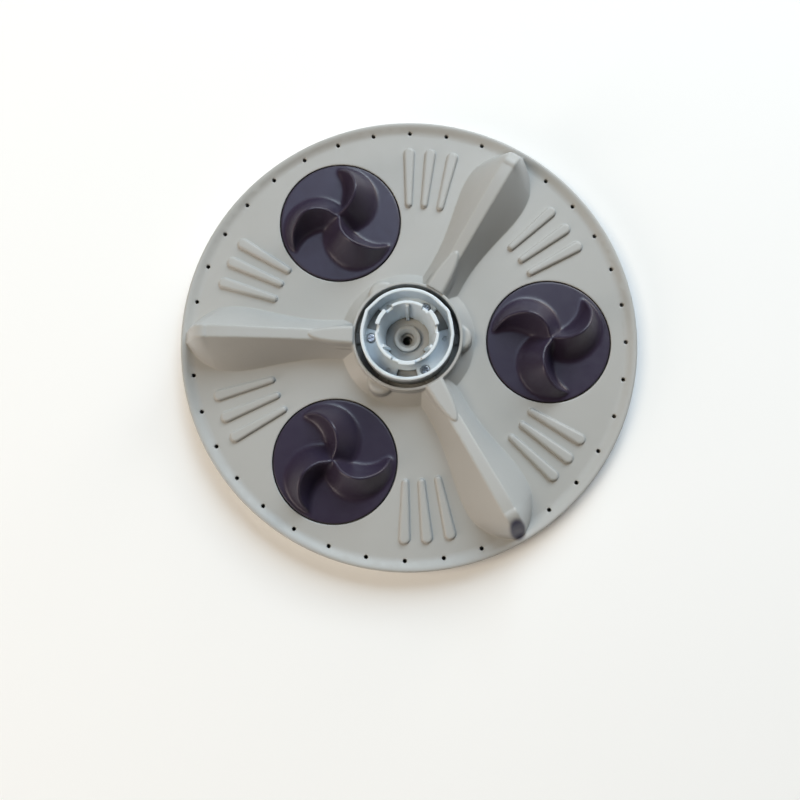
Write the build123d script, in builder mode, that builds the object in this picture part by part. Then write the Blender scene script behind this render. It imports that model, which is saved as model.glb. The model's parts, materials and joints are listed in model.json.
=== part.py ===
from build123d import *
import os
from math import acos, atan2, cos, degrees, radians, sin, tan

# Washing machine agitator: a moulded wash plate with three hollow fins, three free
# impellers in round pockets and a screwed ring in the hub. Millimetres, +Z up.
# The origin is on the drive axis at the foot of the skirt, on which the plate rests.

# Plate shell
plate_radius = 190.0
floor_height = 18.0
wall = 3.0
skirt_wall = 2.6
skirt_draft = 1.4
lip_height = 3.0
lip_foot = 11.5
lip_middle = 6.0
lip_round = 1.7

# Drain holes: a ring of them beside the lip, with none where a fin ends
drain_radius = 1.65
drain_margin = 9.0
drain_count = 36
fin_count = 3
fin_start = 60.0

# Fins: at each station along the radius, half width of the foot, half width of the
# ridge and height of the ridge above the floor. The last of these stations is also the
# first of those on the outer end, where the ridge turns down into the end facet.
fin_stations = [
    (38.0, 18.0, 6.0, 19.0),
    (80.0, 16.9, 4.6, 23.3),
    (110.0, 21.8, 4.6, 28.2),
    (135.0, 26.8, 4.8, 31.4),
    (150.0, 27.5, 5.0, 32.7),
    (160.0, 25.8, 5.0, 32.8),
]
fin_end_stations = [
    (168.5, 21.5, 5.0, 31.4),
    (173.5, 18.2, 5.0, 26.0),
    (179.5, 12.5, 5.0, 15.0),
    (185.2, 5.4, 4.6, 2.6),
]
fin_sink = 1.0
fin_wall = 2.6
fin_foot_share = 1.3
fin_ridge_share = 0.8
ridge_round = 1.8
ridge_round_share = 0.4

# Leaf: the blunt nosed pad on the root of each fin
leaf_length = 36.5
leaf_half_width = 7.6
leaf_root_height = 22.5
leaf_tip_height = 24.6
# At each level of the leaf: depth below its crown and growth of its outline
leaf_levels = [
    (11.0, 3.0),
    (2.6, 0.3),
    (0.8, -0.7),
    (0.0, -2.4),
]

# Raised ribs beside the fins
rib_angles = (17.1, 23.8, 30.2)
rib_inner_reach = 118.0
rib_outer_reach = 163.0
rib_inner_radius = 2.8
rib_outer_radius = 4.6
rib_height = 3.0
rib_round = 2.2

# Hub: collar, apron, lobes, and the web and seat inside the collar
collar_radius = 45.0
collar_wall = 2.3
collar_height = 20.0
collar_draft = 1.0
apron_radius = 56.0
apron_height = 9.0
lobe_reach = 54.5
lobe_radius = 13.0
lobe_height = 15.5
lobe_taper = 6.0
lobe_round = 3.8
web_rise = 3.5
web_wall = 3.0
ledge_width = 8.4
ledge_height = 1.5
ledge_count = 6
ledge_margin = 2.5
seat_radius = 11.2
seat_draft = 0.4
seat_height = 4.8
seat_dish_radius = 8.2
seat_dish_depth = 4.3
seat_bore_radius = 5.6
bolt_radius = 3.95
bolt_rim = -1.5
bolt_land = 5.0

# Drive insert: a metal sleeve with a serrated bore, moulded into the boss underneath
insert_radius = 14.0
insert_flange_radius = 16.0
insert_flange_height = 4.0
insert_foot = 1.0
insert_bore_radius = 8.6
serration_radius = 1.6
serration_count = 12
insert_gap = 0.05
boss_wall = 3.2

# Hub ring
ring_radius = 37.7
ring_corner_reach = 39.0
ring_corner_round = 1.2
ring_wall = 2.1
ring_top_round = 0.8
ring_rise = 28.0
ring_web = 2.5
tube_top_radius = 25.5
tube_foot_radius = 20.3
tube_wall = 2.3
tube_rise = 34.0
tube_gap = 0.1
foot_slot_half_angle = 15.0
foot_slot_height = 1.5
foot_slot_count = 6
broad_merlon = 60.0
narrow_merlon = 30.0
merlon_depth = 4.5
narrow_merlon_drop = 0.5
narrow_flange = 0.9
narrow_flange_height = 1.6
narrow_flange_round = 0.8
peg_width = 2.5
peg_reach = 2.2
peg_drop = 1.5
window_half_angle = 16.0
window_inner = 26.5
window_outer = 34.8
web_dimple_radius = 2.0
web_dimple_depth = 1.2
web_dimple_place = 31.0

# Screws
screw_place = 30.0
screw_shank = 1.5
screw_head = 3.6
screw_head_height = 2.2
screw_length = 10.0
screw_boss_wall = 2.4
screw_boss_drop = 6.5
screw_round = 1.0
screw_point = 0.6
screw_recess = 1.4
screw_recess_width = 1.0
screw_recess_length = 4.7
screw_turn = 20.0
screw_hole_gap = 0.05
screw_clear = 0.3
screw_head_gap = 0.6
screw_sink = 0.8

# Impellers and their pockets
impeller_margin = 22.1
impeller_radius = 50.8
impeller_gap = 1.0
impeller_proud = 0.5
impeller_plate = 2.4
impeller_rim = 4.2
impeller_wall = 2.4
impeller_edge = 0.6
impeller_turns = (-42.5, 1.3, -87.9)
pocket_depth = 5.5
pocket_wall = 2.6
shaft_radius = 6.0
shaft_gap = 0.05
bush_wall = 2.0
bush_flange = 3.0
bush_flange_height = 1.5
bush_gap = 0.05
thrust_gap = 0.3
end_float = 0.4
pocket_boss_wall = 3.0
pocket_boss_height = 5.1
washer_radius = 9.5
washer_height = 1.2

# Arms of the impeller, seen with the tip of one arm towards +Y. At each station along the
# crest: its place, the heading of the crest in degrees, the height of the crest above the
# disc, and how far the outer and the inner foot lie from the crest
arm_count = 3
arm_stations = [
    (0.0, 0.0, 38.0, 16.5, 10.4, 6.5),
    (6.2, 5.3, 44.0, 20.0, 14.7, 8.2),
    (11.4, 11.4, 58.0, 22.8, 17.0, 9.9),
    (14.1, 18.2, 77.0, 24.1, 17.2, 10.4),
    (14.3, 26.0, 99.0, 22.7, 15.8, 9.9),
    (12.2, 33.0, 113.5, 18.6, 12.8, 8.5),
    (7.8, 40.0, 134.5, 12.5, 7.4, 6.4),
    (2.6, 43.7, 151.0, 7.2, 3.6, 3.4),
    (-0.4, 45.2, 153.5, 3.6, 1.7, 1.6),
]
arm_tip_station = (-1.7, 45.9, 154.0, 1.2, 0.9, 0.9)
arm_crest_round = 1.3
arm_sink = 0.8
arm_flare = 2.0
arm_flare_drop = 0.35
arm_flare_round = 2.4
arm_round_share = 0.22
arm_wall_share = 1.3
arm_roof_share = 2.2
hollow_first = 2
hollow_last = 7
hollow_top_half = 0.8

# Underside stiffeners
stiffener_wall = 2.2
stiffener_count = 6
stiffener_foot = 5.0
stiffener_end_height = 3.0
stiffener_outer = 176.0
ring_rib_place = 58.0

# Depth by which a part of a moulding is sunk into the rest of it, and by which a cut
# runs past the face that it leaves
joint = 0.5
past = 1.0

floor_under = floor_height - wall
drain_place = plate_radius - drain_margin
web_top = floor_height + web_rise
seat_top = web_top + seat_height
bolt_seat = floor_height + bolt_rim
insert_top = bolt_seat - bolt_land
boss_radius = insert_flange_radius + boss_wall
insert_flange_foot = 0.5 * (insert_foot + insert_top - insert_flange_height)
collar_bore = collar_radius - collar_wall
ring_seat = web_top + ledge_height
screw_boss_foot = web_top - web_wall - screw_boss_drop
impeller_place = plate_radius - impeller_margin - impeller_radius
impeller_top = floor_height + impeller_proud
pocket_radius = impeller_radius + impeller_gap
pocket_floor = floor_height - pocket_depth
pocket_under = pocket_floor - pocket_wall
pocket_boss_foot = pocket_floor - pocket_wall - pocket_boss_height
bush_bore = shaft_radius + shaft_gap
bush_radius = bush_bore + bush_wall
bush_top = pocket_floor + bush_flange_height
shaft_foot = pocket_boss_foot - end_float
shaft_shoulder = bush_top + thrust_gap
shoulder_radius = bush_radius + bush_flange - joint
washer_foot = shaft_foot - washer_height
fin_pitch = 360.0 / fin_count
between_fins = fin_start - 0.5 * fin_pitch
narrow_middle = fin_start - 0.25 * fin_pitch

os.makedirs("parts", exist_ok=True)


def across(reach):
    """Plane across the fin at a radius: sketch x is sideways, sketch y is up from the floor."""
    return Plane(origin=(reach, 0, floor_height), x_dir=(0, 1, 0), z_dir=(1, 0, 0))


def fin_section(reach, foot, ridge, height, sink, edge_round):
    """Section of a fin: sunk foot, sloping sides and a ridge with rounded edges."""
    with BuildSketch(across(reach)) as section:
        with BuildLine():
            Polyline(
                (-foot, -sink),
                (foot, -sink),
                (foot, 0),
                (ridge, height),
                (-ridge, height),
                (-foot, 0),
                close=True,
            )
        make_face()
        fillet(section.vertices().group_by(Axis.Y)[-1], edge_round)
    return section.sketch


def hollow_section(reach, foot, ridge, height):
    """Section of the space under a fin, one wall inside the fin and open downwards."""
    return fin_section(
        reach,
        foot - fin_foot_share * fin_wall,
        ridge - fin_ridge_share * fin_wall,
        height - fin_wall,
        wall + past,
        ridge_round_share * ridge_round,
    )


# Fin, outer form: along the ridge, then down the outer end
with BuildPart() as fin:
    for stations in (fin_stations, fin_stations[-1:] + fin_end_stations):
        for reach, foot, ridge, height in stations:
            edge_round = min(ridge_round, ridge_round_share * height)
            add(fin_section(reach, foot, ridge, height, fin_sink, edge_round))
        loft()

# Space under the fin, which starts outside the apron and ends before the last station
hollow_stations = [station for station in fin_stations if station[0] > apron_radius]
with BuildPart() as fin_hollow:
    for stations in (hollow_stations, fin_stations[-1:] + fin_end_stations[:-1]):
        for reach, foot, ridge, height in stations:
            add(hollow_section(reach - fin_wall, foot, ridge, height))
        loft()

# Leaf: half ellipses on parallel tilted planes, which grow downwards from a rounded rim
leaf_tilt = degrees(atan2(leaf_tip_height - leaf_root_height, leaf_length))
leaf_root = collar_radius - 0.5 * collar_wall
with BuildPart() as leaf:
    for depth, growth in leaf_levels:
        leaf_plane = Plane(
            origin=(leaf_root, 0, floor_height + leaf_root_height - depth),
            x_dir=(cos(radians(leaf_tilt)), 0, sin(radians(leaf_tilt))),
            z_dir=(-sin(radians(leaf_tilt)), 0, cos(radians(leaf_tilt))),
        )
        with BuildSketch(leaf_plane):
            Ellipse(leaf_length + growth, leaf_half_width + growth)
            Rectangle(
                2 * leaf_length,
                2 * leaf_length,
                align=(Align.MAX, Align.CENTER),
                mode=Mode.SUBTRACT,
            )
    loft()

# Raised rib: a tapered outline with round ends, its top edge rounded
with BuildPart() as rib:
    with BuildSketch(Plane.XY.offset(floor_height - joint)) as rib_outline:
        with Locations((rib_inner_reach, 0)):
            Circle(rib_inner_radius)
        with Locations((rib_outer_reach, 0)):
            Circle(rib_outer_radius)
        make_hull()
    extrude(amount=rib_height + joint)
    fillet(rib.faces().sort_by(Axis.Z)[-1].edges(), rib_round)

# Lobe of the hub: a low round dome against the collar
with BuildPart() as lobe:
    with BuildSketch(Plane.XY.offset(floor_under)):
        with Locations((lobe_reach - lobe_radius, 0)):
            Circle(lobe_radius)
    extrude(amount=wall + lobe_height, taper=lobe_taper)
    fillet(lobe.faces().sort_by(Axis.Z)[-1].edges(), lobe_round)

# Stiffener under the floor: an upright web that gets lower outwards
with BuildPart() as stiffener:
    with BuildSketch(Plane.XZ):
        with BuildLine():
            Polyline(
                (ring_rib_place, stiffener_foot),
                (stiffener_outer, floor_under - stiffener_end_height),
                (stiffener_outer, floor_under + joint),
                (ring_rib_place, floor_under + joint),
                close=True,
            )
        make_face()
    extrude(amount=0.5 * stiffener_wall, both=True)

# Wash plate
with BuildPart() as wash_plate:
    # Skirt, lip, floor, apron, collar, web, seat and drive boss in one section turned
    # about the axis
    lip_crest = (plate_radius - lip_round, floor_height + lip_height)
    with BuildSketch(Plane.XZ) as shell:
        with BuildLine():
            Spline(
                (plate_radius - lip_foot, floor_height),
                (plate_radius - lip_middle, floor_height + 0.5 * lip_height),
                lip_crest,
                tangents=((1, 0), (1, 0)),
            )
            CenterArc((lip_crest[0], lip_crest[1] - lip_round), lip_round, 0, 90)
            Polyline(
                (plate_radius, lip_crest[1] - lip_round),
                (plate_radius - skirt_draft, 0),
                (plate_radius - skirt_draft - skirt_wall, 0),
                (plate_radius - skirt_wall, floor_under),
                (apron_radius - wall, floor_under),
                (collar_bore, web_top - web_wall),
                (boss_radius, web_top - web_wall),
                (boss_radius, insert_foot),
                (bolt_radius, insert_foot),
                (bolt_radius, bolt_seat),
                (seat_bore_radius, bolt_seat),
                (seat_bore_radius, seat_top - seat_dish_depth),
                (seat_dish_radius, seat_top),
                (seat_radius - seat_draft, seat_top),
                (seat_radius, web_top),
                (collar_bore, web_top),
                (collar_bore, floor_height + collar_height),
                (collar_radius, floor_height + collar_height),
                (collar_radius + collar_draft, floor_height + apron_height),
                (apron_radius, floor_height),
                (plate_radius - lip_foot, floor_height),
            )
        make_face()
    revolve(axis=Axis.Z)
    # Lobes of the hub, between the fins
    with PolarLocations(0, fin_count, start_angle=between_fins):
        add(lobe.part)
    # Fins and leaves
    with PolarLocations(0, fin_count, start_angle=fin_start):
        add(fin.part)
        add(leaf.part)
    # Raised ribs on both sides of each fin
    for side in (-1, 1):
        for angle in rib_angles:
            with PolarLocations(0, fin_count, start_angle=fin_start + side * angle):
                add(rib.part)
    # Stiffeners underneath: a ring, and webs that run outwards from it
    with BuildSketch(Plane.XY.offset(stiffener_foot)):
        Circle(ring_rib_place + stiffener_wall)
        Circle(ring_rib_place, mode=Mode.SUBTRACT)
    extrude(amount=floor_under - stiffener_foot + joint)
    with PolarLocations(0, stiffener_count, start_angle=between_fins + 0.5 * 360.0 / stiffener_count):
        add(stiffener.part)
    # Pockets of the impellers, each with its boss
    with BuildSketch(Plane.XY.offset(pocket_under)):
        with PolarLocations(impeller_place, fin_count, start_angle=between_fins):
            Circle(pocket_radius + pocket_wall)
    extrude(amount=floor_height - pocket_under)
    with BuildSketch(Plane.XY.offset(pocket_boss_foot)):
        with PolarLocations(impeller_place, fin_count, start_angle=between_fins):
            Circle(bush_radius + pocket_boss_wall)
    extrude(amount=pocket_under - pocket_boss_foot + joint)
    with BuildSketch(Plane.XY.offset(pocket_floor)):
        with PolarLocations(impeller_place, fin_count, start_angle=between_fins):
            Circle(pocket_radius)
    extrude(amount=pocket_depth + wall, mode=Mode.SUBTRACT)
    with BuildSketch(Plane.XY.offset(pocket_boss_foot - past)):
        with PolarLocations(impeller_place, fin_count, start_angle=between_fins):
            Circle(bush_radius + bush_gap)
    extrude(amount=pocket_floor - pocket_boss_foot + 2 * past, mode=Mode.SUBTRACT)
    # Hollows under the fins
    with PolarLocations(0, fin_count, start_angle=fin_start):
        add(fin_hollow.part, mode=Mode.SUBTRACT)
    # Well of the hub, cleared of fin and lobe, then its ledges
    with BuildSketch(Plane.XY.offset(web_top)):
        Circle(collar_bore)
        Circle(seat_radius + joint, mode=Mode.SUBTRACT)
    extrude(amount=2 * collar_height, mode=Mode.SUBTRACT)
    ledge_inner = tube_foot_radius + ledge_margin
    ledge_outer = collar_bore + joint
    with BuildSketch(Plane.XY.offset(web_top - joint)):
        with PolarLocations(0.5 * (ledge_inner + ledge_outer), ledge_count):
            Rectangle(ledge_outer - ledge_inner, ledge_width)
    extrude(amount=ledge_height + joint)
    # Bosses of the ring's screws, under the web, and their pilot holes
    with BuildSketch(Plane.XY.offset(screw_boss_foot)):
        with PolarLocations(screw_place, fin_count, start_angle=fin_start):
            Circle(screw_shank + screw_boss_wall)
    extrude(amount=web_top - web_wall - screw_boss_foot + joint)
    with BuildSketch(Plane.XY.offset(screw_boss_foot - past)):
        with PolarLocations(screw_place, fin_count, start_angle=fin_start):
            Circle(screw_shank + screw_hole_gap)
    extrude(amount=ring_seat - screw_boss_foot + 2 * past, mode=Mode.SUBTRACT)
    # Socket of the drive insert, with the groove that its flange fills
    with BuildSketch(Plane.XY.offset(insert_foot - past)):
        Circle(insert_radius + insert_gap)
    extrude(amount=insert_top - insert_foot + past, mode=Mode.SUBTRACT)
    with BuildSketch(Plane.XY.offset(insert_flange_foot - insert_gap)):
        RegularPolygon(insert_flange_radius + insert_gap, 6)
    extrude(amount=insert_flange_height + 2 * insert_gap, mode=Mode.SUBTRACT)
    # Drain holes, left out where a fin ends
    for hole in range(drain_count):
        angle = hole * 360.0 / drain_count
        if (angle - fin_start) % fin_pitch == 0:
            continue
        place = (drain_place * cos(radians(angle)), drain_place * sin(radians(angle)))
        with BuildSketch(Plane.XY.offset(floor_under - past)):
            with Locations(place):
                Circle(drain_radius)
        extrude(amount=wall + lip_height + 2 * past, mode=Mode.SUBTRACT)
wash_plate.part.label = "wash_plate"
export_step(wash_plate.part, "parts/wash_plate.step")

# Drive insert: turned sleeve with a six sided flange that keeps it from turning
with BuildPart() as drive_insert:
    with BuildSketch(Plane.XY.offset(insert_foot)):
        Circle(insert_radius)
        Circle(insert_bore_radius, mode=Mode.SUBTRACT)
    extrude(amount=insert_top - insert_gap - insert_foot)
    with BuildSketch(Plane.XY.offset(insert_flange_foot)):
        RegularPolygon(insert_flange_radius, 6)
        Circle(insert_bore_radius, mode=Mode.SUBTRACT)
    extrude(amount=insert_flange_height)
    with BuildSketch(Plane.XY.offset(insert_foot)):
        with PolarLocations(insert_bore_radius, serration_count):
            RegularPolygon(serration_radius, 3, rotation=180)
    extrude(amount=insert_top - insert_gap - insert_foot, mode=Mode.SUBTRACT)
drive_insert.part.label = "drive_insert"
export_step(drive_insert.part, "parts/drive_insert.step")


def wedge(half_angle):
    """Triangle from the axis outwards along +X that spans an angle, past every radius here."""
    side = 2 * ring_radius * tan(radians(half_angle))
    with BuildSketch() as triangle:
        with BuildLine():
            Polyline((0, 0), (2 * ring_radius, -side), (2 * ring_radius, side), close=True)
        make_face()
    return triangle.sketch


def annular_sector(level, inner, outer, half_angle):
    """Piece of a ring between two radii, centred on +X, on a level plane."""
    with BuildSketch(Plane.XY.offset(level)) as sector:
        Circle(outer)
        Circle(inner, mode=Mode.SUBTRACT)
        add(wedge(half_angle), mode=Mode.INTERSECT)
    return sector.sketch


def cornered_disc(level, radius, corner_reach):
    """Disc with a blunt corner at each narrow merlon of the hub ring, on a level plane."""
    lean = acos(radius / corner_reach)
    with BuildSketch(Plane.XY.offset(level)) as disc:
        with PolarLocations(0, fin_count, start_angle=narrow_middle):
            with BuildLine():
                Polyline(
                    (0, 0),
                    (radius * cos(lean), -radius * sin(lean)),
                    (corner_reach, 0),
                    (radius * cos(lean), radius * sin(lean)),
                    close=True,
                )
            make_face()
        Circle(radius)
        halfway = 0.5 * (radius + corner_reach)
        corners = disc.vertices().filter_by(lambda point: Vector(point).length > halfway)
        fillet(corners, ring_corner_round)
    return disc.sketch


# Hub ring: outer wall, web and tapered inner tube with a castellated mouth
ring_web_top = ring_seat + ring_web
tube_foot = web_top + tube_gap
ring_top = floor_height + ring_rise
tube_top = floor_height + tube_rise
broad_middle = narrow_middle + 0.5 * fin_pitch
notch = 0.5 * (fin_pitch - broad_merlon - narrow_merlon)
notch_offset = 0.5 * (narrow_merlon + notch)
flange_top = tube_top - narrow_merlon_drop

# Flange of a narrow merlon, leaning outwards, with rounded corners
with BuildPart() as merlon_flange:
    add(
        annular_sector(
            flange_top - narrow_flange_height,
            tube_top_radius - tube_wall,
            tube_top_radius + narrow_flange,
            0.5 * narrow_merlon,
        )
    )
    extrude(amount=narrow_flange_height)
    fillet(merlon_flange.edges().filter_by(Axis.Z).sort_by(Axis.X)[-2:], narrow_flange_round)

# Upright peg inside the tube, from its foot nearly to its mouth
with BuildPart() as peg:
    with BuildSketch(Plane.XZ):
        with BuildLine():
            Polyline(
                (tube_foot_radius - tube_wall - peg_reach, tube_foot),
                (tube_foot_radius - tube_wall + joint, tube_foot),
                (tube_top_radius - tube_wall + joint, tube_top - peg_drop),
                (tube_top_radius - tube_wall - peg_reach, tube_top - peg_drop),
                close=True,
            )
        make_face()
    extrude(amount=0.5 * peg_width, both=True)

with BuildPart() as hub_ring:
    # Outer wall with rounded top edges, standing on the web
    add(cornered_disc(ring_seat, ring_radius, ring_corner_reach))
    extrude(amount=ring_top - ring_seat)
    add(cornered_disc(ring_web_top, ring_radius - ring_wall, ring_corner_reach - ring_wall))
    extrude(amount=ring_top - ring_web_top, mode=Mode.SUBTRACT)
    fillet(hub_ring.faces().sort_by(Axis.Z)[-1].edges(), ring_top_round)
    # Inner tube, wider at its mouth, and the pegs inside it
    with BuildSketch(Plane.XZ):
        with BuildLine():
            Polyline(
                (0, tube_foot),
                (tube_foot_radius, tube_foot),
                (tube_top_radius, tube_top),
                (0, tube_top),
                close=True,
            )
        make_face()
    revolve(axis=Axis.Z)
    with PolarLocations(0, fin_count, start_angle=narrow_middle):
        add(merlon_flange.part)
    with BuildSketch(Plane.XZ):
        with BuildLine():
            Polyline(
                (0, tube_foot - past),
                (tube_foot_radius - tube_wall, tube_foot - past),
                (tube_foot_radius - tube_wall, tube_foot),
                (tube_top_radius - tube_wall, tube_top),
                (tube_top_radius - tube_wall, tube_top + past),
                (0, tube_top + past),
                close=True,
            )
        make_face()
    revolve(axis=Axis.Z, mode=Mode.SUBTRACT)
    with PolarLocations(0, fin_count, start_angle=broad_middle):
        add(peg.part)
    # Mouth of the tube: notches between the merlons, and the lower tops of the narrow ones
    for turn in (-notch_offset, notch_offset):
        with PolarLocations(0, fin_count, start_angle=narrow_middle + turn):
            add(
                annular_sector(
                    tube_top - merlon_depth,
                    tube_foot_radius - tube_wall,
                    tube_top_radius + past,
                    0.5 * notch,
                )
            )
    extrude(amount=merlon_depth + past, mode=Mode.SUBTRACT)
    with PolarLocations(0, fin_count, start_angle=narrow_middle):
        add(
            annular_sector(
                flange_top,
                tube_foot_radius - tube_wall,
                tube_top_radius + past,
                0.5 * (narrow_merlon + notch),
            )
        )
    extrude(amount=narrow_merlon_drop + past, mode=Mode.SUBTRACT)
    # Slots at the foot of the tube
    with PolarLocations(0, foot_slot_count, start_angle=narrow_middle):
        add(
            annular_sector(
                tube_foot - past,
                tube_foot_radius - tube_wall - past,
                tube_foot_radius + past,
                foot_slot_half_angle,
            )
        )
    extrude(amount=foot_slot_height + past, mode=Mode.SUBTRACT)
    # Windows through the web
    with PolarLocations(0, fin_count, start_angle=narrow_middle):
        add(annular_sector(ring_seat - past, window_inner, window_outer, window_half_angle))
    extrude(amount=ring_web + 2 * past, mode=Mode.SUBTRACT)
    # Holes and seats of the three screws, and the blind dimples between them
    with BuildSketch(Plane.XY.offset(ring_seat - past)):
        with PolarLocations(screw_place, fin_count, start_angle=fin_start):
            Circle(screw_shank + screw_clear)
    extrude(amount=ring_web + 2 * past, mode=Mode.SUBTRACT)
    with BuildSketch(Plane.XY.offset(ring_web_top - screw_sink)):
        with PolarLocations(screw_place, fin_count, start_angle=fin_start):
            Circle(screw_head + screw_head_gap)
    extrude(amount=screw_sink + past, mode=Mode.SUBTRACT)
    with BuildSketch(Plane.XY.offset(ring_web_top - web_dimple_depth)):
        with PolarLocations(web_dimple_place, fin_count, start_angle=between_fins):
            Circle(web_dimple_radius)
    extrude(amount=web_dimple_depth + past, mode=Mode.SUBTRACT)
hub_ring.part.label = "hub_ring"
export_step(hub_ring.part, "parts/hub_ring.step")

# Pan head screw with a cross recess, its head seated at the origin
with BuildPart() as screw:
    Cylinder(screw_head, screw_head_height, align=(Align.CENTER, Align.CENTER, Align.MIN))
    fillet(screw.edges().sort_by(Axis.Z)[-1], screw_round)
    with BuildSketch(Plane.XY.offset(screw_head_height - screw_recess)):
        Rectangle(screw_recess_length, screw_recess_width)
        Rectangle(screw_recess_width, screw_recess_length)
    extrude(amount=screw_recess + past, mode=Mode.SUBTRACT)
    with BuildSketch(Plane.XY):
        Circle(screw_shank)
    extrude(amount=-screw_length)
    chamfer(screw.edges().sort_by(Axis.Z)[0], screw_point)

for number in range(fin_count):
    angle = fin_start + number * fin_pitch
    seat = (
        screw_place * cos(radians(angle)),
        screw_place * sin(radians(angle)),
        ring_web_top - screw_sink,
    )
    with BuildPart() as hub_ring_screw:
        with Locations(Location(seat, (0, 0, angle + screw_turn))):
            add(screw.part)
    name = f"hub_ring_screw_{number + 1}"
    hub_ring_screw.part.label = name
    export_step(hub_ring_screw.part, f"parts/{name}.step")


def across_arm(place_x, place_y, heading):
    """Plane across an arm: sketch x runs outwards from the crest, sketch y up from the disc."""
    turn = radians(heading)
    return Plane(
        origin=(place_x, place_y, impeller_top),
        x_dir=(sin(turn), -cos(turn), 0),
        z_dir=(-cos(turn), -sin(turn), 0),
    )


def arm_section(place_x, place_y, heading, height, outer, inner):
    """Section of an arm: a ridge with a rounded crest whose sides flare out into the disc."""
    share = min(1.0, arm_round_share * height)
    flare = share * arm_flare
    lean = 0.5 * (atan2(outer, height) + atan2(inner, height))
    apex = height + share * arm_crest_round * (1 / sin(lean) - 1)
    with BuildSketch(across_arm(place_x, place_y, heading)) as section:
        with BuildLine():
            Polyline(
                (-inner - flare, -arm_sink),
                (outer + flare, -arm_sink),
                (outer + flare, -arm_flare_drop),
                (outer, 0),
                (0, apex),
                (-inner, 0),
                (-inner - flare, -arm_flare_drop),
                close=True,
            )
        make_face()
        corners = section.vertices().group_by(Axis.Y)
        fillet(corners[-1], share * arm_crest_round)
        fillet(corners[-2], share * arm_flare_round)
    return section.sketch


def arm_space(place_x, place_y, heading, height, outer, inner):
    """Section of the space inside an arm, open downwards through the disc."""
    with BuildSketch(across_arm(place_x, place_y, heading)) as section:
        with BuildLine():
            Polyline(
                (arm_wall_share * impeller_wall - inner, -impeller_plate - past),
                (outer - arm_wall_share * impeller_wall, -impeller_plate - past),
                (outer - arm_wall_share * impeller_wall, -arm_sink),
                (hollow_top_half, height - arm_roof_share * impeller_wall),
                (-hollow_top_half, height - arm_roof_share * impeller_wall),
                (arm_wall_share * impeller_wall - inner, -arm_sink),
                close=True,
            )
        make_face()
    return section.sketch


# One arm, and the space inside it, which starts outside the shaft
with BuildPart() as arm:
    for place_x, place_y, heading, height, outer, inner in arm_stations + [arm_tip_station]:
        add(arm_section(place_x, place_y, heading, height, outer, inner))
    loft()
with BuildPart() as arm_hollow:
    for place_x, place_y, heading, height, outer, inner in arm_stations[hollow_first:hollow_last]:
        add(arm_space(place_x, place_y, heading, height, outer, inner))
    loft()

# Impeller, its axis on the origin: plate, rim, three arms, and the shaft underneath
with BuildPart() as impeller:
    with BuildSketch(Plane.XZ):
        with BuildLine():
            Polyline(
                (0, impeller_top),
                (impeller_radius - impeller_edge, impeller_top),
                (impeller_radius, impeller_top - impeller_edge),
                (impeller_radius, impeller_top - impeller_rim),
                (impeller_radius - impeller_wall, impeller_top - impeller_rim),
                (impeller_radius - impeller_wall, impeller_top - impeller_plate),
                (0, impeller_top - impeller_plate),
                close=True,
            )
        make_face()
    revolve(axis=Axis.Z)
    with PolarLocations(0, arm_count):
        add(arm.part)
    with PolarLocations(0, arm_count):
        add(arm_hollow.part, mode=Mode.SUBTRACT)
    with BuildSketch(Plane.XY.offset(shaft_shoulder)):
        Circle(shoulder_radius)
    extrude(amount=impeller_top - shaft_shoulder)
    with BuildSketch(Plane.XY.offset(shaft_foot)):
        Circle(shaft_radius)
    extrude(amount=shaft_shoulder - shaft_foot + joint)
    with BuildSketch(Plane.XY.offset(shaft_foot)):
        Circle(screw_shank + screw_hole_gap)
    extrude(amount=screw_length + past, mode=Mode.SUBTRACT)

# Bearing bush of an impeller, flange upwards
with BuildPart() as bush:
    with BuildSketch(Plane.XZ):
        with BuildLine():
            Polyline(
                (bush_bore, pocket_boss_foot),
                (bush_radius, pocket_boss_foot),
                (bush_radius, pocket_floor),
                (bush_radius + bush_flange, pocket_floor),
                (bush_radius + bush_flange, bush_top),
                (bush_bore, bush_top),
                close=True,
            )
        make_face()
    revolve(axis=Axis.Z)

# Washer that holds the shaft from beneath
with BuildPart() as washer:
    with BuildSketch(Plane.XY.offset(washer_foot)):
        Circle(washer_radius)
        Circle(screw_shank + screw_clear, mode=Mode.SUBTRACT)
    extrude(amount=washer_height)

for number in range(fin_count):
    angle = between_fins + number * fin_pitch
    centre = (impeller_place * cos(radians(angle)), impeller_place * sin(radians(angle)), 0)
    turned = Location(centre, (0, 0, impeller_turns[number]))
    upside_down = Location((centre[0], centre[1], washer_foot), (180, 0, 0))
    with BuildPart() as placed_impeller:
        with Locations(turned):
            add(impeller.part)
    with BuildPart() as placed_bush:
        with Locations(Location(centre)):
            add(bush.part)
    with BuildPart() as placed_washer:
        with Locations(Location(centre)):
            add(washer.part)
    with BuildPart() as placed_screw:
        with Locations(upside_down):
            add(screw.part)
    for name, piece in (
        ("impeller", placed_impeller),
        ("impeller_bush", placed_bush),
        ("impeller_washer", placed_washer),
        ("impeller_screw", placed_screw),
    ):
        piece.part.label = f"{name}_{number + 1}"
        export_step(piece.part, f"parts/{name}_{number + 1}.step")
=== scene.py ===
import json
from math import acos, atan2, cos, hypot, pi, radians, sin, sqrt

import bpy
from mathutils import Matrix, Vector
from mathutils.bvhtree import BVHTree

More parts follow.
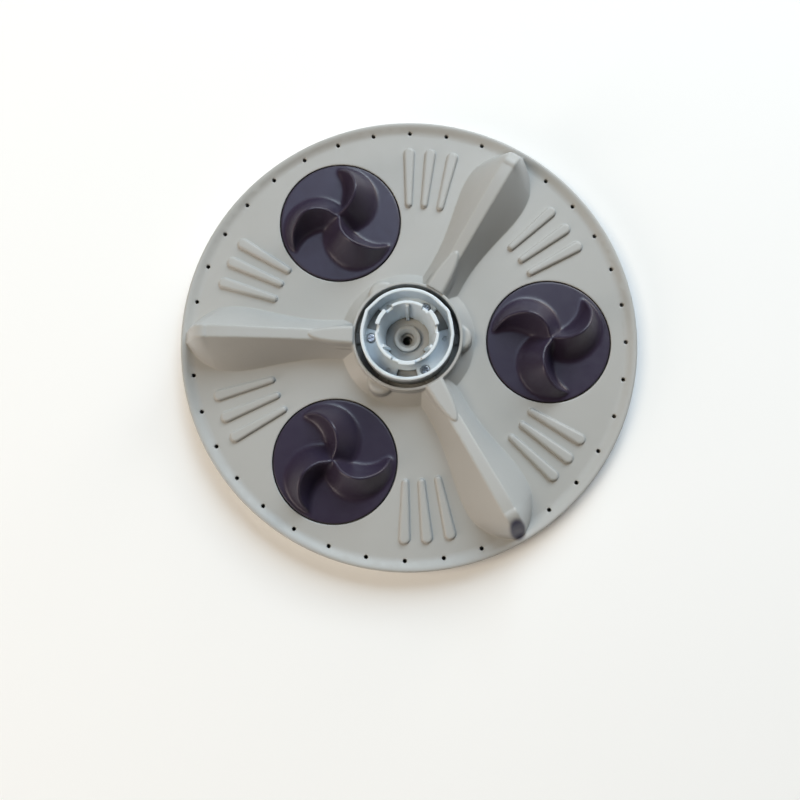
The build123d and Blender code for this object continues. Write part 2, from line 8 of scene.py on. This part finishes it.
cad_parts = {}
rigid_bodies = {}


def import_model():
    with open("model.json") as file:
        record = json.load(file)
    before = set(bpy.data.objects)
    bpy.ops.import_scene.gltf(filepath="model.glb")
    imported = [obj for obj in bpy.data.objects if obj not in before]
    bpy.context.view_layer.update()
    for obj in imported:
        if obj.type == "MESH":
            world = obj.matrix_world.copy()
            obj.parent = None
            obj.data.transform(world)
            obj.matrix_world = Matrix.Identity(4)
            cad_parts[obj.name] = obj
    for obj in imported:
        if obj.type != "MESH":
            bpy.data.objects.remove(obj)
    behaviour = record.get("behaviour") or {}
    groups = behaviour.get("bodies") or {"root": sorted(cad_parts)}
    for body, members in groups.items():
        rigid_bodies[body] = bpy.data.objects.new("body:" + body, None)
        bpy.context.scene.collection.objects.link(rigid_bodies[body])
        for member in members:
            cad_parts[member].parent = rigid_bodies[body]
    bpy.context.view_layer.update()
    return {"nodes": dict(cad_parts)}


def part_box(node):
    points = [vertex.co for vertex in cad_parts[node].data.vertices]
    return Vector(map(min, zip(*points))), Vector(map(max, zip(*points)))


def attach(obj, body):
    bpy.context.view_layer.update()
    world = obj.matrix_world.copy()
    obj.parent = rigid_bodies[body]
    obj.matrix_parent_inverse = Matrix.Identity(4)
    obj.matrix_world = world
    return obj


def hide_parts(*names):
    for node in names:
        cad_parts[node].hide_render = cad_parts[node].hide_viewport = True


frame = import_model()

# Camera: hand held above the plate, a little below its middle, looking nearly straight down.
# The plate fills a little over half of the square frame.
camera_place = (0.00949, -0.1224, 0.63412)
camera_turn = (6.6995, 1.3165, 0.7562)
camera_lens = 33.75
camera_film = 36.0
camera_nearest = 0.01

bpy.ops.object.select_all(action="DESELECT")
bpy.ops.object.camera_add(location=camera_place, rotation=[radians(turn) for turn in camera_turn])
camera = bpy.context.object
camera.name = "camera"
camera.data.lens = camera_lens
camera.data.sensor_width = camera_film
camera.data.clip_start = camera_nearest
bpy.context.scene.camera = camera
bpy.context.scene.view_settings.view_transform = "Standard"


# Wash plate: one injection moulding in pale grey polypropylene with a satin surface. Its corners
# are darkened by dust and painted shade, its deep slots and holes by painted shade, and its edges
# are paler with wear and a painted highlight.
plate_light = (0.422, 0.427, 0.424, 1)
plate_dark = (0.385, 0.388, 0.381, 1)
# Dust with painted shade, laid into the corners
plate_dust_shade = (0.26, 0.235, 0.2, 1)
# A paler tone for wear with a painted highlight, laid along the edges
plate_worn_highlight = (0.47, 0.475, 0.47, 1)
# Painted shade, nearly black, laid deep in slots and holes
slot_shade_tone = (0.03, 0.025, 0.022, 1)

# Patterns in cells to the metre
drift_cells = 16.0
sheen_cells = 110.0
grain_cells = 1400.0
grain_strength = 0.25

# How near a neighbour has to be to darken a corner with dust and painted shade, and a deep slot with
# painted shade, and the openness of the surface, from 0 in a slot to 1 on a flat, at which each of them
# starts and is full
dust_shade_reach = 0.006
dust_shade_starts, dust_shade_full, dust_shade_most = 0.75, 0.2, 0.35
slot_shade_reach = 0.012
slot_shade_starts, slot_shade_full = 0.38, 0.12

# An edge is paler with wear and a painted highlight where its softened surface turns from its true
# one, by the cosine between them
rub_highlight_starts, rub_highlight_full, rub_highlight_most = 0.99, 0.88, 0.6

# Noise at which the surface is at its smoothest and at its roughest, and how far from its gloss
sheen_starts, sheen_full = 0.3, 0.7
smoother, rougher = 0.05, 0.07
corner_samples = 8
edge_samples = 6


def noise(finish, cells, detail, roughness=0.5):
    """Noise on the piece's Object coordinates, in cells to the metre."""
    nodes, links = finish.node_tree.nodes, finish.node_tree.links
    texture = nodes.new("ShaderNodeTexNoise")
    texture.inputs["Scale"].default_value = cells
    texture.inputs["Detail"].default_value = detail
    texture.inputs["Roughness"].default_value = roughness
    links.new(nodes.new("ShaderNodeTexCoord").outputs["Object"], texture.inputs["Vector"])
    return texture.outputs["Fac"]


def graded(finish, value, start, full, least, most, curve="LINEAR"):
    """Grade a value from least, where it is at its start, to most, where it is full."""
    grade = finish.node_tree.nodes.new("ShaderNodeMapRange")
    grade.interpolation_type = curve
    grade.inputs["From Min"].default_value = start
    grade.inputs["From Max"].default_value = full
    grade.inputs["To Min"].default_value = least
    grade.inputs["To Max"].default_value = most
    finish.node_tree.links.new(value, grade.inputs["Value"])
    return grade.outputs["Result"]


def coated(finish, under, coat, share):
    """Cover a colour, plain or from another node, with a share of a second one."""
    nodes, links = finish.node_tree.nodes, finish.node_tree.links
    mix = nodes.new("ShaderNodeMix")
    mix.data_type = "RGBA"
    if isinstance(under, tuple):
        mix.inputs["A"].default_value = under
    else:
        links.new(under, mix.inputs["A"])
    mix.inputs["B"].default_value = coat
    links.new(share, mix.inputs["Factor"])
    return mix.outputs["Result"]


def openness(finish, reach):
    """How openly the surface lies, judged by what is within reach of it."""
    shelter = finish.node_tree.nodes.new("ShaderNodeAmbientOcclusion")
    shelter.inputs["Distance"].default_value = reach
    shelter.samples = corner_samples
    return shelter.outputs["AO"]


def relief(finish, heights, strength, depth, surface):
    """Give the finish a fine relief of some depth over its softened surface."""
    nodes, links = finish.node_tree.nodes, finish.node_tree.links
    bump = nodes.new("ShaderNodeBump")
    bump.inputs["Strength"].default_value = strength
    bump.inputs["Distance"].default_value = depth
    links.new(heights, bump.inputs["Height"])
    links.new(surface, bump.inputs["Normal"])
    links.new(bump.outputs["Normal"], nodes["Principled BSDF"].inputs["Normal"])


def moulded_plastic(name, light_tone, dark_tone, dust_shade_tone, worn_highlight, gloss, edge, grain_depth, slot_shade):
    """Used plastic: slow drift of tone, dust and painted shade in corners, painted shade in slots,
    and edges that are softened by the mould and paler with wear and a painted highlight, all over a
    fine grain."""
    finish = bpy.data.materials.new(name)
    finish.use_nodes = True
    nodes, links = finish.node_tree.nodes, finish.node_tree.links
    shader = nodes["Principled BSDF"]

    colour = coated(finish, light_tone, dark_tone, noise(finish, drift_cells, detail=6, roughness=0.6))
    # Dust and painted shade darken the corners
    dust_shade = graded(finish, openness(finish, dust_shade_reach), dust_shade_starts, dust_shade_full, 0, dust_shade_most)
    colour = coated(finish, colour, dust_shade_tone, dust_shade)
    # Painted shade deep in slots and holes
    slot_shade_share = graded(finish, openness(finish, slot_shade_reach), slot_shade_starts, slot_shade_full, 0, slot_shade)
    colour = coated(finish, colour, slot_shade_tone, slot_shade_share)

    soft_edge = nodes.new("ShaderNodeBevel")
    soft_edge.inputs["Radius"].default_value = edge
    soft_edge.samples = edge_samples
    lean = nodes.new("ShaderNodeVectorMath")
    lean.operation = "DOT_PRODUCT"
    links.new(soft_edge.outputs["Normal"], lean.inputs[0])
    links.new(nodes.new("ShaderNodeNewGeometry").outputs["Normal"], lean.inputs[1])
    # Wear with a painted highlight along the softened edges
    rubbed_highlight = graded(finish, lean.outputs["Value"], rub_highlight_starts, rub_highlight_full, 0, rub_highlight_most)
    links.new(coated(finish, colour, worn_highlight, rubbed_highlight), shader.inputs["Base Color"])

    wear = noise(finish, sheen_cells, detail=5)
    sheen = graded(finish, wear, sheen_starts, sheen_full, gloss - smoother, gloss + rougher)
    links.new(sheen, shader.inputs["Roughness"])
    grain = noise(finish, grain_cells, detail=2)
    relief(finish, grain, grain_strength, grain_depth, soft_edge.outputs["Normal"])
    return finish


def dress(node, finish):
    """Give a CAD node its finish."""
    slots = frame["nodes"][node].data.materials
    slots.clear()
    slots.append(finish)


# The plate takes strong painted shade in its deep slots and holes
plate_plastic = moulded_plastic(
    "plate_plastic", plate_light, plate_dark, plate_dust_shade, plate_worn_highlight,
    gloss=0.46, edge=0.002, grain_depth=0.00004, slot_shade=0.85
)
dress("wash_plate", plate_plastic)

# A violet stain on the outer end of the lower right fin, soaked into its upper side
stain_middle = (0.0887, -0.1538, 0)
stain_spread = (0.0095, 0.0065, 1)
stain_bearing = radians(-60)
stain_tone = (0.018, 0.014, 0.055, 1)
stain_ends, stain_full, stain_most = 1.25, 0.7, 0.97
stain_upward = 0.05

nodes, links = plate_plastic.node_tree.nodes, plate_plastic.node_tree.links
about = nodes.new("ShaderNodeMapping")
about.vector_type = "TEXTURE"
about.inputs["Location"].default_value = stain_middle
about.inputs["Rotation"].default_value = (0, 0, stain_bearing)
about.inputs["Scale"].default_value = stain_spread
links.new(nodes.new("ShaderNodeTexCoord").outputs["Object"], about.inputs["Vector"])
away = nodes.new("ShaderNodeVectorMath")
away.operation = "LENGTH"
links.new(about.outputs["Vector"], away.inputs[0])
soaked = graded(plate_plastic, away.outputs["Value"], stain_ends, stain_full, 0, stain_most, "SMOOTHSTEP")

facing = nodes.new("ShaderNodeSeparateXYZ")
links.new(nodes.new("ShaderNodeNewGeometry").outputs["Normal"], facing.inputs["Vector"])
upper_side = nodes.new("ShaderNodeMath")
upper_side.operation = "GREATER_THAN"
upper_side.inputs[1].default_value = stain_upward
links.new(facing.outputs["Z"], upper_side.inputs[0])
amount = nodes.new("ShaderNodeMath")
amount.operation = "MULTIPLY"
links.new(soaked, amount.inputs[0])
links.new(upper_side.outputs["Value"], amount.inputs[1])

plate_colour = nodes["Principled BSDF"].inputs["Base Color"]
unstained = plate_colour.links[0].from_socket
links.new(coated(plate_plastic, unstained, stain_tone, amount.outputs["Value"]), plate_colour)


# Drive insert: a die cast aluminium sleeve with a serrated bore, moulded into the boss
# under the hub, so that only its bore and foot show from beneath.
insert_tone = (0.36, 0.355, 0.345, 1)
insert_tarnish = (0.14, 0.13, 0.12, 1)
cloud_cells = 400.0
brighter, duller = 0.08, 0.12
metal_edge = 0.0003
scratch_strength = 0.2
scratch_depth = 0.00003


def bare_metal(name, tone, tarnish, gloss, scratch_cells):
    """Bare metal, clouded by tarnish and finely scratched all over."""
    finish = bpy.data.materials.new(name)
    finish.use_nodes = True
    nodes, links = finish.node_tree.nodes, finish.node_tree.links
    shader = nodes["Principled BSDF"]
    shader.inputs["Metallic"].default_value = 1.0

    cloud = noise(finish, cloud_cells, detail=5)
    links.new(coated(finish, tone, tarnish, cloud), shader.inputs["Base Color"])
    links.new(graded(finish, cloud, 0, 1, gloss - brighter, gloss + duller), shader.inputs["Roughness"])

    soft_edge = nodes.new("ShaderNodeBevel")
    soft_edge.inputs["Radius"].default_value = metal_edge
    scratches = noise(finish, scratch_cells, detail=3)
    relief(finish, scratches, scratch_strength, scratch_depth, soft_edge.outputs["Normal"])
    return finish


insert_metal = bare_metal("insert_metal", insert_tone, insert_tarnish, gloss=0.45, scratch_cells=900.0)
dress("drive_insert", insert_metal)


# Hub ring: a bluish white moulding with a castellated mouth for the cap that belongs on it,
# held down in the collar by three screws.
ring_light = (0.69, 0.76, 0.82, 1)
ring_dark = (0.63, 0.7, 0.76, 1)
# Dust with painted shade for the corners, and a paler tone for wear with a painted highlight on edges
ring_dust_shade = (0.3, 0.33, 0.34, 1)
ring_worn_highlight = (0.78, 0.84, 0.89, 1)

# The solid's outer wall has one blunt corner, at 0 degrees. The real one has two, and is a little
# thicker, so the copy's wall is moved to that shape.
wall_reach = 0.0377
corner_reach = 0.039
corner_lean = acos(wall_reach / corner_reach)
solid_corners = (0,)
real_corners = (30, 150)
wall_inside = 0.0352
wall_middle = -0.001
wall_more = 0.0007
ring_smooth = radians(30)
seam_gap = 0.000001


def wall_shape(bearing, corners):
    """Reach of the ring's outer wall at a bearing, with a blunt corner at each of the corners."""
    nearest = min(abs((bearing - radians(corner) + pi) % (2 * pi) - pi) for corner in corners)
    return wall_reach / cos(corner_lean - nearest) if nearest < corner_lean else wall_reach


def select_open_edges():
    """Go into edit mode and select the edges that have a face on one side only."""
    bpy.ops.object.mode_set(mode="EDIT")
    bpy.ops.mesh.select_mode(type="EDGE")
    bpy.ops.mesh.select_all(action="DESELECT")
    bpy.ops.mesh.select_non_manifold(
        use_wire=False, use_multi_face=False, use_non_contiguous=False, use_verts=False
    )


def copied_solid(node, name):
    """Copy a CAD node's mesh to a new piece and close the seams between its faces, which stay
    crisp in the shading."""
    piece = bpy.data.objects.new(name, frame["nodes"][node].data.copy())
    bpy.context.collection.objects.link(piece)
    bpy.ops.object.select_all(action="DESELECT")
    piece.select_set(True)
    bpy.context.view_layer.objects.active = piece
    bpy.ops.mesh.customdata_custom_splitnormals_clear()
    select_open_edges()
    bpy.ops.mesh.mark_sharp()
    bpy.ops.mesh.select_all(action="SELECT")
    bpy.ops.mesh.remove_doubles(threshold=seam_gap)
    bpy.ops.object.mode_set(mode="OBJECT")
    return piece


ring_plastic = moulded_plastic(
    "ring_plastic", ring_light, ring_dark, ring_dust_shade, ring_worn_highlight,
    gloss=0.36, edge=0.0012, grain_depth=0.00003, slot_shade=0
)
ring = copied_solid("hub_ring", "hub_ring_moulding")
for point in ring.data.vertices:
    reach = hypot(point.co.x, point.co.y)
    if reach > wall_inside:
        bearing = atan2(point.co.y, point.co.x)
        depth = reach - wall_shape(bearing, solid_corners)
        moved = wall_shape(bearing, real_corners) + depth - wall_more * (depth < wall_middle)
        point.co.x *= moved / reach
        point.co.y *= moved / reach
ring.data.materials.clear()
ring.data.materials.append(ring_plastic)
bpy.ops.object.shade_smooth_by_angle(angle=ring_smooth)
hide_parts("hub_ring")
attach(ring, "plate")


# Screws: zinc plated pan heads with a cross recess. Three hold the ring, and three more
# hold the impellers from beneath, each with its washer.
screw_tone = (0.66, 0.66, 0.68, 1)
screw_tarnish = (0.44, 0.43, 0.42, 1)

screw_steel = bare_metal("screw_steel", screw_tone, screw_tarnish, gloss=0.27, scratch_cells=2200.0)
for number in (1, 2, 3):
    dress(f"hub_ring_screw_{number}", screw_steel)
    dress(f"impeller_screw_{number}", screw_steel)
    dress(f"impeller_washer_{number}", screw_steel)


# Impellers: dark purple grey mouldings with three curved arms and a stub shaft, glossier
# than the plate. Each spins freely in its pocket and stays where the wash leaves it.
impeller_light = (0.035, 0.026, 0.049, 1)
impeller_dark = (0.027, 0.019, 0.038, 1)
# Dust with painted shade for the corners, and a paler tone for wear with a painted highlight on crests
impeller_dust_shade = (0.05, 0.042, 0.046, 1)
impeller_worn_highlight = (0.075, 0.07, 0.09, 1)

# The upper side is drawn anew over the solid, on a fine net, with the soft hollow fillets that a
# mould leaves where the arms meet the disc and each other. The rest is the solid's own faces.
disc_top = 0.0185
stub_top = 0.01
net_reach = 0.05
net_cells = 220
net_drop = 0.2
fillet_passes = 110
blend_passes = 3
upward = 0.02
skin = 0.00002
impeller_smooth = radians(35)

# The impellers take a little painted shade in their deep hollows
impeller_plastic = moulded_plastic(
    "impeller_plastic", impeller_light, impeller_dark, impeller_dust_shade, impeller_worn_highlight,
    gloss=0.36, edge=0.002, grain_depth=0.00003, slot_shade=0.3
)


def soften(net, passes):
    """Even out the heights of a net, leaving its plan alone."""
    evened = net.modifiers.new("evened", "SMOOTH")
    evened.use_x = evened.use_y = False
    evened.iterations = passes
    bpy.ops.object.modifier_apply(modifier="evened")


def filleted_top(node):
    """A round net that lies on a CAD impeller, with fillets in its hollow corners."""
    solid = frame["nodes"][node].data
    solid_faces = BVHTree.FromPolygons(
        [vertex.co for vertex in solid.vertices], [face.vertices for face in solid.polygons]
    )
    low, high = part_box(node)
    middle = Vector(((low[0] + high[0]) / 2, (low[1] + high[1]) / 2, 0))

    bpy.ops.object.select_all(action="DESELECT")
    bpy.ops.mesh.primitive_grid_add(x_subdivisions=net_cells, y_subdivisions=net_cells, size=2)
    net = bpy.context.object
    for point in net.data.vertices:
        # A formula that draws a square grid in to a round one, with no fold at its middle
        across, along = point.co.x, point.co.y
        place = Vector((across * sqrt(1 - along**2 / 2), along * sqrt(1 - across**2 / 2), 0))
        above = middle + place * net_reach + Vector((0, 0, net_drop))
        landing = solid_faces.ray_cast(above, (0, 0, -1))[0]
        point.co = landing or (above.x, above.y, disc_top)
    moulded = [point.co.z for point in net.data.vertices]
    soften(net, fillet_passes)
    for point, height in zip(net.data.vertices, moulded):
        point.co.z = max(point.co.z, height)
    soften(net, blend_passes)
    return net


def select_faces(piece, wanted):
    """Go into edit mode with the wanted faces of a piece selected, and no others."""
    bpy.ops.object.mode_set(mode="EDIT")
    bpy.ops.mesh.select_mode(type="FACE")
    bpy.ops.mesh.select_all(action="DESELECT")
    bpy.ops.object.mode_set(mode="OBJECT")
    for face in piece.data.polygons:
        face.select = wanted(face)
    bpy.ops.object.mode_set(mode="EDIT")


for number in (1, 2, 3):
    net = filleted_top(f"impeller_{number}")
    body = copied_solid(f"impeller_{number}", f"impeller_moulding_{number}")
    select_faces(body, lambda face: face.center.z > disc_top - skin and face.normal.z > upward)
    bpy.ops.mesh.delete(type="FACE")
    bpy.ops.object.mode_set(mode="OBJECT")

    # Steep slivers of the arms that this leaves aren't joined to the stub any more, and go too
    select_faces(body, lambda face: face.center.z < stub_top)
    bpy.ops.mesh.select_linked()
    bpy.ops.mesh.select_all(action="INVERT")
    bpy.ops.mesh.delete(type="FACE")
    bpy.ops.object.mode_set(mode="OBJECT")

    body.data.materials.clear()
    body.data.materials.append(impeller_plastic)
    net.data.materials.append(impeller_plastic)
    net.select_set(True)
    bpy.ops.object.join()

    # A narrow strip closes the gap between the net and the rim of the disc
    select_open_edges()
    bpy.ops.mesh.bridge_edge_loops()
    bpy.ops.object.mode_set(mode="OBJECT")
    bpy.ops.object.shade_smooth_by_angle(angle=impeller_smooth)
    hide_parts(f"impeller_{number}")
    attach(body, f"spinner_{number}")


# Bushes: plain white acetal sleeves with a flange, pressed into the bosses of the pockets.
bush_light = (0.7, 0.7, 0.67, 1)
bush_dark = (0.64, 0.64, 0.6, 1)
# Dust with painted shade for the corners, and a paler tone for wear with a painted highlight on edges
bush_dust_shade = (0.3, 0.29, 0.27, 1)
bush_worn_highlight = (0.75, 0.75, 0.72, 1)

# The bushes take a little painted shade in their deep hollows
bush_plastic = moulded_plastic(
    "bush_plastic", bush_light, bush_dark, bush_dust_shade, bush_worn_highlight,
    gloss=0.38, edge=0.0003, grain_depth=0.00002, slot_shade=0.3
)
for number in (1, 2, 3):
    dress(f"impeller_bush_{number}", bush_plastic)


# Floor: a pale matt sheet under the plate, small enough to end before a low camera's horizon.
floor_size = 4.4
floor_tone = (0.93, 0.94, 0.96, 1)
floor_roughness = 0.9

bpy.ops.object.select_all(action="DESELECT")
bpy.ops.mesh.primitive_plane_add(size=floor_size, location=(0, 0, 0))
floor = bpy.context.object
floor.name = "floor"
floor_paint = bpy.data.materials.new("floor_paint")
floor_paint.use_nodes = True
floor_shader = floor_paint.node_tree.nodes["Principled BSDF"]
floor_shader.inputs["Base Color"].default_value = floor_tone
floor_shader.inputs["Roughness"].default_value = floor_roughness
floor.data.materials.append(floor_paint)


# Light: a broad cool window beyond the top of the plate with a low warm one beside it, a warm
# wall at the near left, a ceiling that only lights and a strip of sky that only shows in gloss.
lamp_reach = 4.5


def soft_light(name, bearing, height, size, power, colour):
    """Square lamp at a bearing and height in degrees round the plate, aimed at its middle."""
    bearing, height = radians(bearing), radians(height)
    spot = Vector((cos(bearing) * cos(height), sin(bearing) * cos(height), sin(height))) * lamp_reach
    bpy.ops.object.light_add(type="AREA", location=spot)
    lamp = bpy.context.object
    lamp.name = name
    lamp.data.size = size
    lamp.data.energy = power
    lamp.data.color = colour
    lamp.rotation_euler = spot.to_track_quat("Z", "Y").to_euler()
    return lamp


soft_light("window", bearing=70, height=39, size=3.0, power=202, colour=(0.76, 0.9, 1.0))
soft_light("low_window", bearing=50, height=15, size=2.0, power=66, colour=(1.0, 0.88, 0.74))
soft_light("room_wall", bearing=213, height=19, size=2.6, power=78, colour=(1.0, 0.88, 0.8))
ceiling = soft_light("ceiling", bearing=190, height=62, size=2.0, power=100, colour=(1.0, 0.86, 0.66))
ceiling.visible_glossy = False
skylight = soft_light("skylight", bearing=97, height=68, size=1.8, power=26, colour=(0.6, 0.75, 1.0))
skylight.visible_diffuse = False

# A pale background that only the camera sees
world_tone = (0.95, 0.97, 1.0, 1)
world_strength = 0.95

world = bpy.data.worlds.new("room")
world.use_nodes = True
world.node_tree.nodes["Background"].inputs["Color"].default_value = world_tone
world.node_tree.nodes["Background"].inputs["Strength"].default_value = world_strength
seen_by = world.cycles_visibility
seen_by.diffuse = seen_by.glossy = seen_by.transmission = seen_by.scatter = False
bpy.context.scene.world = world
